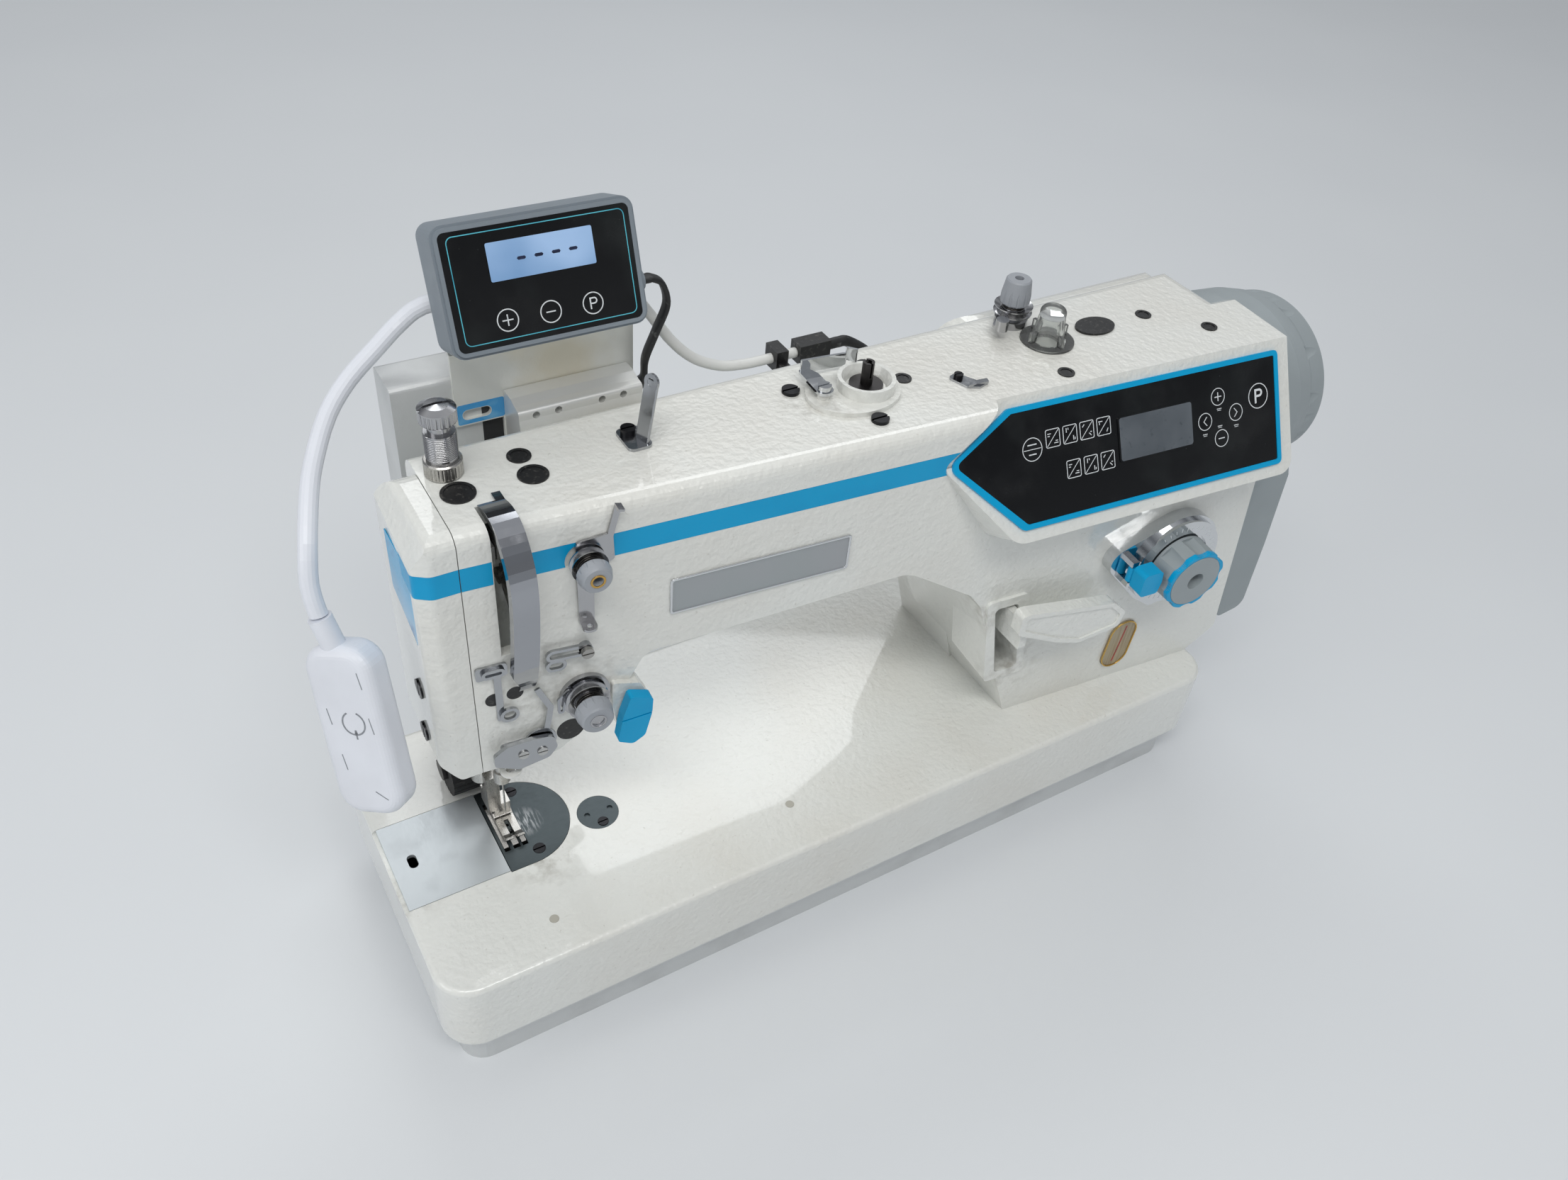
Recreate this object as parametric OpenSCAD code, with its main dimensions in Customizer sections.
// Industrial lockstitch sewing machine head with a fabric puller and a work lamp.
// Millimetres. The origin lies on the base face, straight below the needle.
// +X runs to the handwheel, +Y away from the operator, +Z up.

/* [Bed] */
// Needle to the bed's left end
bed_left = 66; // [62:1:75]
// Needle to the bed's right end
bed_right = 451; // [446:1:470]
// Half of the bed's width
bed_half = 89; // [85:1:100]
// Corner radius of the bed in plan
bed_corner = 20; // [12:1:28]
// Rounding of the bed's top edge
bed_edge = 3; // [1:0.5:5]
// Height of the bed casting's skirt
skirt_h = 48; // [44:1:60]
// Wall of the bed casting
bed_wall = 6; // [4:0.5:8]
// Thickness of the bed's top
bed_top_t = 8; // [6:0.5:10]
// Height of the bottom cover
cover_h = 30; // [20:1:50]
// Wall of the bottom cover
cover_wall = 3; // [2:0.5:5]
// Step from the bed's skirt in to the cover's wall
cover_inset = 8; // [5:1:14]

/* [Plates in the bed] */
// Thickness of the slide plate and the throat plate
plate_t = 2.2; // [1.5:0.1:3]
// Needle to the seam between slide plate and throat plate
plate_seam = 9; // [8.5:0.5:11]
// Radius of the throat plate's round side
throat_r = 29; // [27:0.5:32]
// Length of the slide plate
slide_l = 54.4; // [50:0.2:56]
// Diameter of the needle hole
needle_hole_d = 2; // [1.6:0.1:3]
// Length of the feed slots
feed_slot_l = 35.5; // [34.5:0.5:38]
// Diameter of the oil access disc
disc_d = 23; // [18:0.5:28]

/* [Arm casting] */
// Front face to the needle, at the needle
front_y = 30; // [28:0.5:34]
// Angle by which the front face widens to the right
flare = 4.5; // [3.5:0.1:5]
// Needle to the arm's rear face
rear_y = 38; // [36:0.5:42]
// Needle to the pillar's rear face
pillar_rear_y = 54; // [50:0.5:60]
// Height of the arm's top above the bed
arm_top = 230; // [226:1:240]
// Height of the arm's underside above the bed, at the head
arm_under_l = 135.5; // [130:0.5:140]
// Height of the arm's underside above the bed, at the pillar
arm_under_r = 140; // [134:0.5:144]
// Height of the head's bottom above the bed
head_bottom = 84; // [80:0.5:86]
// Needle to the seam of the face plate
face_seam = 17.5; // [16:0.5:19]
// Thickness of the face plate
face_t = 19; // [15:0.5:24]
// Rounding of the arm's long top edges
arm_edge = 7; // [4:0.5:9]
// Gap left at seams and round plates
seam_gap = 0.4; // [0.3:0.05:0.6]
// Depth of the blue stripe
stripe_h = 12.5; // [8:0.5:14]
// Height of the stripe's lower edge above the bed
stripe_z = 201; // [196:0.5:204]
// Width of the take-up slot
slot_w = 9.5; // [9:0.5:12]

/* [Control panel] */
// Angle by which the panel leans back
panel_lean = 29; // [26:1:32]
// Distance of the panel's lower edge in front of the arm
panel_bulge = 19.8; // [17:0.2:22]
// Height of the panel's lower edge above the bed
panel_z = 169.5; // [166:0.5:172]
// Right end of the panel
panel_right = 438.5; // [434:0.5:442]
// Length of the panel's lower edge
panel_l = 175.5; // [165:0.5:180]
// Height of the panel up its slope
panel_up = 63.6; // [58:0.2:66]
// Width of the blue frame
frame_w = 2.8; // [2:0.2:5]
// White rim of the hood below the panel
hood_rim = 7; // [5:0.5:9]

/* [Shafts] */
// Height of the main shaft above the bed
shaft_z = 165; // [162:0.5:168]
// Place of the main shaft behind the needle (negative is in front)
shaft_y = -2; // [-3:0.5:0]
// Radius of the main shaft
shaft_r = 8; // [6:0.5:9]
// Depth of the hook shaft below the bed's top
hook_drop = 30; // [28:0.5:32]
// Radius of the hook shaft
hook_shaft_r = 7; // [5:0.5:8]
// Pitch radius of the main shaft's belt pulley, twice the hook shaft's
pulley_r = 24; // [22:0.5:26]
// Width of the timing belt
belt_w = 12; // [8:1:16]
// Radius of the rotary hook
hook_r = 18; // [17:0.25:19]
// Running clearance of shafts in their bores
run_gap = 0.05; // [0.03:0.01:0.1]
// Stroke of the needle bar
needle_stroke = 30.7; // [28:0.1:32]
// Radius of the needle bar
needle_bar_r = 3.6; // [3:0.1:3.7]
// Radius of the presser bar
presser_bar_r = 4; // [3.5:0.25:4.5]

/* [Handwheel] */
// Radius of the handwheel at the pillar
wheel_r = 59; // [56:0.5:60]
// Radius of the handwheel's gripped rim
wheel_rim_r = 53; // [50:0.5:55]
// Length of the smooth part of the handwheel
wheel_skirt_l = 46; // [42:1:50]
// Length of the gripped rim
wheel_rim_l = 20; // [15:1:26]
// Hollows round the gripped rim
wheel_grips = 24; // [18:1:30]

/* [Tension units] */
// Diameter of the tension discs
tension_disc_d = 21; // [19:0.5:24]
// Diameter of the main tension knob
main_knob_d = 18; // [16:0.5:22]
// Diameter of the small tension knobs
small_knob_d = 16; // [13:0.5:18]
// Diameter of the presser screw's thread
presser_thread_d = 13.6; // [12:0.2:15]
// Length of thread shown above the arm
presser_thread_l = 22; // [18:1:30]
// Diameter of the presser screw's head
presser_head_d = 16.4; // [15:0.2:20]
// Diameter of the lock nut
lock_nut_d = 17; // [16:0.25:18]

/* [Stitch dial and reverse lever] */
// Diameter of the stitch dial
dial_d = 40; // [36:1:44]
// Front of the dial to the arm's front face
dial_reach = 29; // [26:0.5:34]
// Radius of the chrome ring behind the dial
dial_ring_r = 30; // [27:0.5:32]
// Thickness of the reverse lever's pad
pad_t = 8; // [6:0.5:10]

/* [Bobbin winder] */
// Radius of the winder cup
cup_r = 14.5; // [13:0.5:16]
// Height of the winder cup above its plate
cup_h = 6; // [4:0.5:8]
// Radius of the winder spindle
spindle_r = 3; // [2.5:0.25:3.5]
// Top of the spindle above the arm
spindle_h = 17; // [15:0.5:24]

/* [Puller and display] */
// Width of the display box
display_w = 93; // [86:1:98]
// Height of the display box up its slope
display_h = 57; // [50:1:64]
// Thickness of the display box
display_t = 22; // [16:1:24]
// Angle by which the display leans back
display_lean = 20; // [16:1:24]
// Diameter of the puller roller
roller_d = 32; // [28:1:33]
// Width of the puller roller
roller_w = 24; // [18:1:28]
// Travel of the puller roller when it is raised
puller_lift = 15; // [10:1:20]

/* [Work lamp] */
// Length of the lamp head
lamp_l = 84; // [74:1:100]
// Width of the lamp head
lamp_w = 34; // [28:1:38]
// Thickness of the lamp head
lamp_t = 17; // [13:0.5:20]
// Diameter of the gooseneck
neck_d = 8.3; // [7:0.1:10]
// Diameter of the lamp cable
lamp_cable_d = 5.5; // [4.5:0.1:7]

/* [Hidden] */
$fn = 48;

bed_z = cover_h + skirt_h;
fit = 0.3;
eps = 0.05;
hook_z = -hook_drop;
presser_axis = [-6, 16.5];
main_tension = [34.5, 120.4];
front_tension = [37.5, 203.4];
top_tension = [311, 22];
dial_axis = [395, 101.5];
winder_axis = [199.7, -3.6];
winder_pivot = [175.6, -3.2];
sight_axis = [318, -1];
disc_axis = [47.5, -14];
take_up_axis = [18, 186];
lever_x0 = 4.4;
lever_t = 1.5;
slot_mid = 1.7;
slot_z0 = 158;
slot_z1 = 232;
guard_w = 12;
guard_t = 1.4;
guard_lip = 4.5;
belt_x = 337;
pocket_x0 = 322;
pocket_x1 = 432;
bush_x = 310;
wheel_x = 444;
wheel_end = wheel_x + wheel_skirt_l + wheel_rim_l;
puller_axis = [-8, 39];
roller_z = 1 + roller_d / 2;
roller_x0 = puller_axis[0] - roller_w / 2;
bracket_y = 59;
bracket_t = 2;
housing_y = bracket_y + bracket_t;
block_y0 = rear_y;
screw_r = 4.5;

// Front face's place at x, seen from above
function fy(x) = -front_y - tan(flare) * x;

// One rounded corner of an outline: p between a and b, radius r, n steps
function corner(a, p, b, r, n) =
  let (u = (a - p) / norm(a - p), v = (b - p) / norm(b - p),
       half = acos(u * v) / 2, d = r / tan(half),
       c = p + (u + v) / norm(u + v) * r / sin(half),
       s = p + u * d - c, e = p + v * d - c,
       a0 = atan2(s.y, s.x),
       turn = (atan2(e.y, e.x) - a0 + 900) % 360 - 180)
  [for (i = [0:n]) c + r * [cos(a0 + turn * i / n), sin(a0 + turn * i / n)]];

// Outline from corners [x, y, radius]
function outline(q, n = 6) = let (k = len(q))
  [for (i = [0:k-1]) let (a = q[(i + k - 1) % k], p = q[i], b = q[(i + 1) % k])
    each (p[2] == 0 ? [[p.x, p.y]]
      : corner([a.x, a.y], [p.x, p.y], [b.x, b.y], p[2], n))];

function box_outline(x0, x1, y0, y1, r) = outline([[x0, y0, r], [x1, y0, r], [x1, y1, r], [x0, y1, r]]);

// Points of a smooth curve through p, k steps between two of them
function curve(p, k) = concat([for (i = [0:len(p)-2]) for (j = [0:k-1])
  let (t = j / k, a = p[max(i-1, 0)], b = p[i], c = p[i+1], d = p[min(i+2, len(p)-1)])
  0.5 * (2*b + (c-a)*t + (2*a-5*b+4*c-d)*t*t + (3*b-a-3*c+d)*t*t*t)], [p[len(p)-1]]);

function unit(v) = v / norm(v);
function tangent(p, i) = unit(p[min(i+1, len(p)-1)] - p[max(i-1, 0)]);
// Side directions carried along the curve without twist
function sides(p, i, u, out) = i >= len(p) ? out
  : let (t = tangent(p, i), w = unit(u - (u * t) * t)) sides(p, i+1, w, concat(out, [w]));

// Tube of half width a and half height b swept along p, with n sides
module tube(p, a, b, n, up) {
  u = sides(p, 0, up, []);
  rings = [for (i = [0:len(p)-1]) let (v = cross(tangent(p, i), u[i]))
    for (j = [0:n-1]) p[i] + a * cos(360 * j / n) * v + b * sin(360 * j / n) * u[i]];
  last = (len(p) - 1) * n;
  faces = concat([[for (j = [n-1:-1:0]) j]],
    [for (i = [0:len(p)-2]) for (j = [0:n-1])
      [i*n + j, i*n + (j+1) % n, (i+1)*n + (j+1) % n, (i+1)*n + j]],
    [[for (j = [0:n-1]) last + j]]);
  polyhedron(rings, faces);
}

// Moves a shape so that height 0 is the bed's top
module above_bed() { translate([0, 0, bed_z]) children(); }

// Frame on the front face: x to the right, y up, z out to the operator
module on_front(p, off = 0) {
  translate([p[0], fy(p[0]), p[1]]) rotate([0, 0, -flare]) rotate([90, 0, 0])
    translate([0, 0, off]) children();
}

// Frame on the control panel: x left of the right end is negative, y up the slope
module on_panel(off = 0) {
  translate([panel_right, fy(panel_right), panel_z]) rotate([0, 0, -flare])
    translate([0, -panel_bulge, 0]) rotate([90 - panel_lean, 0, 0]) translate([0, 0, off]) children();
}

// Frame on the display's front: origin at its lower left corner
module on_display(off = 0) {
  translate([10.9, 40, 267]) rotate([90 - display_lean, 0, 0]) translate([0, 0, off]) children();
}

// A (y, z) profile from x0 to x1
module along_x(x0, x1) { translate([x0, 0, 0]) rotate([90, 0, 90]) linear_extrude(x1 - x0) children(); }

// An (x, z) profile from y0 to y1
module along_y(y0, y1) { translate([0, y1, 0]) rotate([90, 0, 0]) linear_extrude(y1 - y0) children(); }

// A round bar along X
module bar_x(x0, x1, r) { translate([x0, 0, 0]) rotate([0, 90, 0]) cylinder(r = r, h = x1 - x0); }

module at_shaft() { translate([0, shaft_y, shaft_z]) children(); }
module at_hook() { translate([0, 0, hook_z]) children(); }

// A round bar from a to b
module strut(a, b, r) {
  d = b - a;
  translate(a) rotate([0, acos(d.z / norm(d)), atan2(d.y, d.x)]) cylinder(r = r, h = norm(d));
}

// Slotted screw head of radius r, its top at height h
module screw(r, h, depth = 3) {
  difference() {
    translate([0, 0, h - depth]) cylinder(r = r, h = depth);
    translate([-r - 1, -r * 0.12, h - 0.9]) cube([2 * r + 2, r * 0.24, 1]);
  }
}

module at(p, z) { translate([p[0], p[1], z]) children(); }

// Rounded slab, its top edge rounded: corner posts and side bars share one profile
module soft_slab(x0, x1, y0, y1, h, r, e) {
  module edge_profile() {
    square([r, h - e]);
    square([r - e, h]);
    translate([r - e, h - e]) intersection() { circle(e); square(e); }
  }
  for (x = [x0 + r, x1 - r], y = [y0 + r, y1 - r]) translate([x, y, 0]) rotate_extrude() edge_profile();
  translate([x1 - r, 0, 0]) along_y(y0 + r, y1 - r) edge_profile();
  translate([x0 + r, 0, 0]) mirror([1, 0, 0]) along_y(y0 + r, y1 - r) edge_profile();
  translate([0, y1 - r, 0]) along_x(x0 + r, x1 - r) edge_profile();
  translate([0, y0 + r, 0]) mirror([0, 1, 0]) along_x(x0 + r, x1 - r) edge_profile();
  translate([x0 + r, y0 + r, 0]) cube([x1 - x0 - 2 * r, y1 - y0 - 2 * r, h]);
}

module slab(x0, x1, y0, y1, h, r) { linear_extrude(h) polygon(box_outline(x0, x1, y0, y1, r)); }

module throat_outline(gap = 0) {
  intersection() {
    union() {
      translate([5, -1]) circle(throat_r + gap);
      translate([-plate_seam - gap, -1 - throat_r - gap])
        square([5 + plate_seam + gap, 2 * (throat_r + gap)]);
    }
    translate([-plate_seam - gap, -60]) square([120, 120]);
  }
}

feed_rows = [[-7, -4.4], [-2, 1.3], [3, 5.6]];
feed_slot_y = -16.5;
throat_screws = [[9.9, 20.9], [9.7, -22.1]];
disc_screw = disc_axis + [0.1, -7.1];
hinge_x = [60, 330];
feed_shaft_y = 52;
feed_shaft_z = -15;
feed_shaft_r = 4;
feed_travel = 2.5;

module bed() {
  color("ivory") difference() {
    union() {
      difference() {
        translate([0, 0, cover_h])
          soft_slab(-bed_left, bed_right, -bed_half, bed_half, skirt_h, bed_corner, bed_edge);
        translate([0, 0, cover_h - 1])
          slab(-bed_left + bed_wall, bed_right - bed_wall, bed_wall - bed_half, bed_half - bed_wall,
            skirt_h - bed_top_t + 1, bed_corner - bed_wall);
      }
      above_bed() {
        // bearing walls of the hook shaft
        for (x = [26, 300, 362]) translate([x, -22, -skirt_h + 4]) cube([10, 44, skirt_h - bed_top_t - 3]);
        // shafts that carry the feed bar, in their lugs
        for (y = [-feed_shaft_y, feed_shaft_y]) {
          translate([0, y, feed_shaft_z]) bar_x(-2, 40, feed_shaft_r);
          for (x = [12, 30]) translate([x, y - 8, feed_shaft_z - 8])
            cube([8, 16, 8 - feed_shaft_z - bed_top_t + 1]);
        }
        // hinge bosses on the rear skirt
        for (x = hinge_x) translate([x, bed_half - 26, -24]) rotate([-90, 0, 0]) cylinder(r = 12, h = 24);
      }
    }
    above_bed() {
      // channel of the slide plate, open at the bed's left end
      translate([-bed_left - 1, -29 - fit, -plate_t]) cube([bed_left + 1 - plate_seam, 57.2 + 2 * fit, 5]);
      translate([-58, -24, -bed_top_t - 1]) cube([58 - plate_seam + 1, 47, 12]);
      // seat and well of the throat plate
      translate([0, 0, -plate_t]) linear_extrude(5) throat_outline(0.15);
      translate([0, 0, -bed_top_t - 1]) linear_extrude(12) throat_outline(-6);
      translate([-plate_seam - 1, -19.5, -bed_top_t - 1]) cube([16, 41, 12]);
      at(disc_axis, -3) cylinder(r = disc_d / 2 + 0.15, h = 5);
      at(disc_axis, -bed_top_t - 1) cylinder(r = disc_d / 2 - 3, h = 8);
      for (p = throat_screws) at(p, -bed_top_t - 1) cylinder(r = 2, h = 10);
      // hook shaft's bores and the belt's opening
      at_hook() bar_x(20, 380, hook_shaft_r + run_gap);
      translate([belt_x - 5, -pulley_r - 8, -bed_top_t - 1]) cube([belt_w + 12, 2 * pulley_r + 14, 12]);
      for (x = hinge_x) translate([x, bed_half - 20, -24]) rotate([-90, 0, 0]) cylinder(r = 5.5, h = 21);
      for (p = bed_plugs) at([p[0], p[1]], -3) cylinder(r = 2.5, h = 5);
    }
  }
}

bed_plugs = [[-0.5, -66.9], [146.2, -57.8]];

module bottom_cover() {
  x0 = -bed_left + cover_inset;
  x1 = bed_right - cover_inset;
  y1 = bed_half - cover_inset;
  color("silver") difference() {
    union() {
      slab(x0, x1, -y1, y1, cover_h, bed_corner - 6);
      translate([0, 0, cover_h - 3])
        slab(-bed_left + 1, bed_right - 1, 1 - bed_half, bed_half - 1, 3, bed_corner - 1);
    }
    translate([0, 0, cover_wall])
      slab(x0 + cover_wall, x1 - cover_wall, cover_wall - y1, y1 - cover_wall, cover_h, bed_corner - 9);
  }
}

// Right border of the pillar, seen from the front
pillar_right = [[467.6, 16, 5], [454.4, 117, 20], [450, 150, 10], [441, arm_top, arm_edge + 3]];

// Side view of head, arm and pillar
module arm_side() {
  polygon(outline([
    [-face_seam + seam_gap, head_bottom, 0], [20, head_bottom, 10], [40, 98, 14], [56, 118, 12],
    [66, arm_under_l, 8], [212, arm_under_r + 0.5, 22], [257, 110, 16], [266, 98, 14], [303, 0, 0],
    [bed_right - 3, 0, 0], each pillar_right, [-face_seam + seam_gap, arm_top, 0]]));
}

module flared(x0, x1) {
  translate([0, -front_y, 0]) rotate([0, 0, -flare]) along_x(x0, x1) children();
}

module hood_outline() {
  left = -panel_l;
  polygon(outline([[left - 4, -hood_rim, 14], [9, -hood_rim, 9], [9, 90, 0], [left - 8, 90, 0],
    [left - 8, panel_up + 5, 8], [left - 43, 41, 5]]));
}

module arm_solid() {
  difference() {
    union() {
      intersection() {
        along_y(-140, rear_y) arm_side();
        flared(-60, 540) polygon(outline([[0, -5, 0], [200, -5, 0], [200, arm_top + 0.001, 0],
          [0, arm_top + 0.001, arm_edge]]));
        along_x(-60, 540) polygon(outline([[-200, -5, 0], [rear_y, -5, 0],
          [rear_y, arm_top + 0.002, arm_edge + 2], [-200, arm_top + 0.002, 0]]));
      }
      // deeper rear of the pillar
      intersection() {
        along_y(0, pillar_rear_y) polygon(outline([[301, 0, 0], [bed_right - 3, 0, 0],
          [466, 16, 4], [453, 117, 20], [449, 150, 10], [440, arm_top - 4, 14], [286, arm_top - 4, 26],
          [274, 92, 20]]));
        along_x(200, 500) polygon(outline([[-20, -5, 0], [pillar_rear_y, -5, 0],
          [pillar_rear_y, arm_top - 4, 16], [-20, arm_top - 4, 0]]));
      }
    }
    on_panel() linear_extrude(80) hood_outline();
  }
  // hood that carries the panel
  intersection() {
    on_panel(-44) linear_extrude(44) hood_outline();
    along_y(-140, rear_y - 12) square([500, arm_top + 0.003]);
  }
}

module arm_casting() {
  color("ivory") above_bed() {
    difference() {
      union() {
        arm_solid();
        on_front([288, 68], -34) linear_extrude(36) translate([-288, -68]) window_outline(6);
      }
      // room behind the face plate, for the bars and the crank
      translate([-face_seam, -24.5, 93]) cube([68, 53.5, 103]);
      translate([-face_seam, -24.5, 206]) cube([68, 53.5, 14]);
      translate([-face_seam, -24.5, 195]) cube([face_seam - 13, 53.5, 12]);
      // bores of the needle bar and the presser bar
      translate([0, 0, 80]) cylinder(r = needle_bar_r + run_gap, h = 130);
      at(presser_axis, 80) cylinder(r = presser_bar_r + run_gap, h = 130);
      at(presser_axis, 210) cylinder(r = presser_thread_d / 2 + run_gap, h = 40);
      // room of the handwheel's skirt
      at_shaft() bar_x(wheel_x - 0.6, 520, wheel_r + 1.5);
      // take-up slot, and the lever's way through the bearing web
      translate([lever_x0 - 0.4, -60, 190]) cube([lever_t + 0.8, 90, 20]);
      translate([slot_mid - slot_w / 2, -60, slot_z0]) cube([slot_w, 48, 100]);
      // tunnel of the main shaft, with its bearings left at both ends
      at_shaft() bar_x(45, 500, shaft_r + run_gap);
      at_shaft() bar_x(68, bush_x, 14);
      // belt and motor room in the pillar
      translate([0, -front_y, 0]) rotate([0, 0, -flare]) translate([pocket_x0 + 2, 9, -5])
        cube([pocket_x1 - pocket_x0, 76, 218]);
      lever_room();
      // seats of the dial, the gauge and the plugs
      on_front(dial_axis, -30) cylinder(r = 6 + run_gap, h = 40);
      on_front([383.4, 29.4], -3) linear_extrude(6) gauge_outline(0.1);
      for (p = top_plugs) translate([p[0], p[1], arm_top - 3]) cylinder(r = p[2] / 2 + 0.05, h = 5);
      at([352.4, -0.3], arm_top - 3) linear_extrude(6) oil_cap_outline(0.05);
      for (p = front_plugs) on_front(p, -3) cylinder(r = p[2] / 2 + 0.05, h = 5);
      on_front(front_tension, -14) cylinder(r = 4, h = 20);
      on_front(main_tension, -14) cylinder(r = 5, h = 20);
      at(top_tension, arm_top - 14) cylinder(r = 4, h = 20);
      at(winder_axis, arm_top - 20) cylinder(r = spindle_r + 3, h = 30);
      at(sight_axis, arm_top - 2) cylinder(r = 14.6, h = 5);
      stripe_bands(0.1);
      // pin of the hand lifter
      translate([30, rear_y - 12, 118]) rotate([-90, 0, 0]) cylinder(r = 4, h = 20);
    }
    // hinge pin of the reverse lever
    translate([0, lever_hinge[0], lever_hinge[1]]) bar_x(272, 300, 3);
    // hinge pin of the take-up lever
    translate([0, take_up_axis[0], take_up_axis[1]]) {
      bar_x(lever_x0 + lever_t + 0.3, 52, 5);
      bar_x(lever_x0 - 0.2, 10, 2.5);
    }
    // arm that holds the touch switch beside the needle
    on_front(switch_place) difference() {
      translate([0, 0, -6]) linear_extrude(9) polygon(outline([[-2.2, 1.5, 1.5], [12, -3, 3], [17.6, -15, 2],
        [11, -34, 3], [1, -34, 3], [-2.2, -15, 2]]));
      translate([switch_stem.x, switch_stem.y, -4]) cylinder(r = switch_stem_r + run_gap, h = 10);
    }
  }
}

// Blue band round the front of head and arm
module stripe_bands(gap = 0) {
  module band(x0, x1) {
    translate([0, -front_y, 0]) rotate([0, 0, -flare])
      translate([x0, -0.02, stripe_z - gap]) cube([x1 - x0, 0.8 + gap, stripe_h + 2 * gap]);
  }
  band(-face_seam + seam_gap - gap, slot_mid - slot_w / 2 - 0.4 + gap);
  band(slot_mid + slot_w / 2 + 0.4 - gap, 236 + gap);
}

module trim_stripe() {
  color("deepskyblue") above_bed() {
    difference() {
      stripe_bands();
      on_front(front_tension, -5) cylinder(r = 9.5, h = 20);
      on_panel(-1) linear_extrude(80) hood_outline();
    }
    face_stripe(0);
  }
}

// The band's part on the face plate, round its front corner
module face_stripe(gap) {
  intersection() {
    difference() {
      linear_extrude(arm_top) polygon(face_plan(0));
      translate([0, 0, -1]) linear_extrude(arm_top + 2) polygon(face_plan(0.8 + gap));
    }
    translate([-60, -60, stripe_z - gap]) cube([60 - face_seam, 54, stripe_h + 2 * gap]);
  }
}

// Plan of the face plate, stepped in by d
function face_plan(d) = let (x0 = -face_seam - face_t + d, x1 = -face_seam)
  outline([[x1, fy(-face_seam) + d, 0], [x1, 34 - d, 0], [x0 + 2, 34 - d, 7], [x0, -24 + d, 3],
    [x0 + 7, fy(-face_seam) + d, 7]]);

module face_plate() {
  color("ivory") above_bed() difference() {
    intersection() {
      translate([0, 0, head_bottom]) linear_extrude(arm_top - head_bottom) polygon(face_plan(0));
      along_y(-60, 60) polygon(outline([[-face_seam, head_bottom - 1, 0], [-face_seam, arm_top, 0],
        [-face_seam - face_t + 8, arm_top, 5], [-face_seam - face_t, arm_top - 14, 8],
        [-face_seam - face_t, head_bottom + 10, 6], [-face_seam - face_t + 9, head_bottom, 4],
        [-face_seam, head_bottom, 0]]));
      along_x(-60, 0) polygon(outline([[-60, head_bottom - 1, 0], [60, head_bottom - 1, 0],
        [34, 190, 10], [26, arm_top, 12], [fy(-face_seam), arm_top, arm_edge],
        [fy(-face_seam) - 1, 120, 0]]));
    }
    // hollow side, open to the room in the head
    translate([-face_seam - face_t + 5, -22, head_bottom + 8])
      cube([face_t, 48, arm_top - head_bottom - 20]);
    // recess of the emblem field on the left side
    translate([-face_seam - face_t - 1, -20, 166]) rotate([90, 0, 90])
      linear_extrude(1.6) polygon(emblem_outline());
    for (p = face_screws) translate([-face_seam - face_t - 1, p[0], p[1]]) rotate([0, 90, 0])
      cylinder(r = 5.05, h = 3.5);
    face_stripe(0.1);
  }
}

function emblem_outline() = outline([[0, 0, 4], [34, 12, 4], [34, 46, 4], [0, 46, 4]]);
face_screws = [[-8, 132], [-5, 100]];

module slotted_screws() {
  color("dimgray") above_bed() {
    for (p = throat_screws) at(p, 0) screw(3.4, 0.2, plate_t - 0.3);
    at(disc_screw, 0) screw(3, 0.4, 1.6);
    for (p = winder_screws) at(p, 0) screw(screw_r, arm_top + 1.8, 1.8);
    for (p = face_screws) translate([-face_seam - face_t, p[0], p[1]]) rotate([0, -90, 0]) screw(5, 0.5, 3);
    at([77.9, 9.3], 0) screw(3.6, arm_top + 4.6, 3);
    at([250, -13], 0) screw(2.4, arm_top + 3.2, 2);
    on_front(oblong_screw) screw(3, 6.2, 2.4);
    for (p = clamp_screws) on_front(p) screw(2.6, 7.4, 1.6);
  }
}
winder_screws = [[165.5, 10.7], [192.5, -28], [211.7, 15.7]];
oblong_screw = [35.4, 151];
clamp_screws = [[1.4, 96.3], [10.7, 95.1]];

module throat_plate() {
  color("silver") above_bed() difference() {
    translate([0, 0, -plate_t]) linear_extrude(plate_t) throat_outline(-seam_gap / 2);
    cylinder(r = needle_hole_d / 2, h = 20, center = true);
    for (r = feed_rows) translate([r[0] - fit, 0, -5]) {
      if (r[0] < 0 && r[1] > 0) {
        translate([0, 3.2, 0]) cube([r[1] - r[0] + 2 * fit, feed_slot_y + feed_slot_l - 3.2, 10]);
        translate([0, feed_slot_y, 0]) cube([r[1] - r[0] + 2 * fit, -feed_slot_y - 3.2, 10]);
      } else {
        translate([0, feed_slot_y, 0]) cube([r[1] - r[0] + 2 * fit, feed_slot_l, 10]);
      }
    }
    for (p = throat_screws) {
      at(p, -5) cylinder(r = 2, h = 10);
      at(p, 0.1 - plate_t + 0.4) cylinder(r = 3.5, h = 5);
    }
  }
}

module bed_disc() {
  color("silver") above_bed() difference() {
    at(disc_axis, -3) cylinder(r = disc_d / 2, h = 3);
    at(disc_screw, -1.2) cylinder(r = 3.1, h = 5);
    for (p = [[-6.1, 0.6], [7.2, 0.1]]) at(disc_axis + p, -1) cylinder(r = 1.6, h = 5);
  }
}

// Rubber plugs on the arm's top: place and diameter
top_plugs = [[-5.7, -0.1, 15.4], [27.3, 14.5, 11], [27.8, -0.8, 14], [224, -1.4, 9], [306.4, -30.9, 9],
  [387.8, -0.8, 9], [414, -26, 9]];
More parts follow.
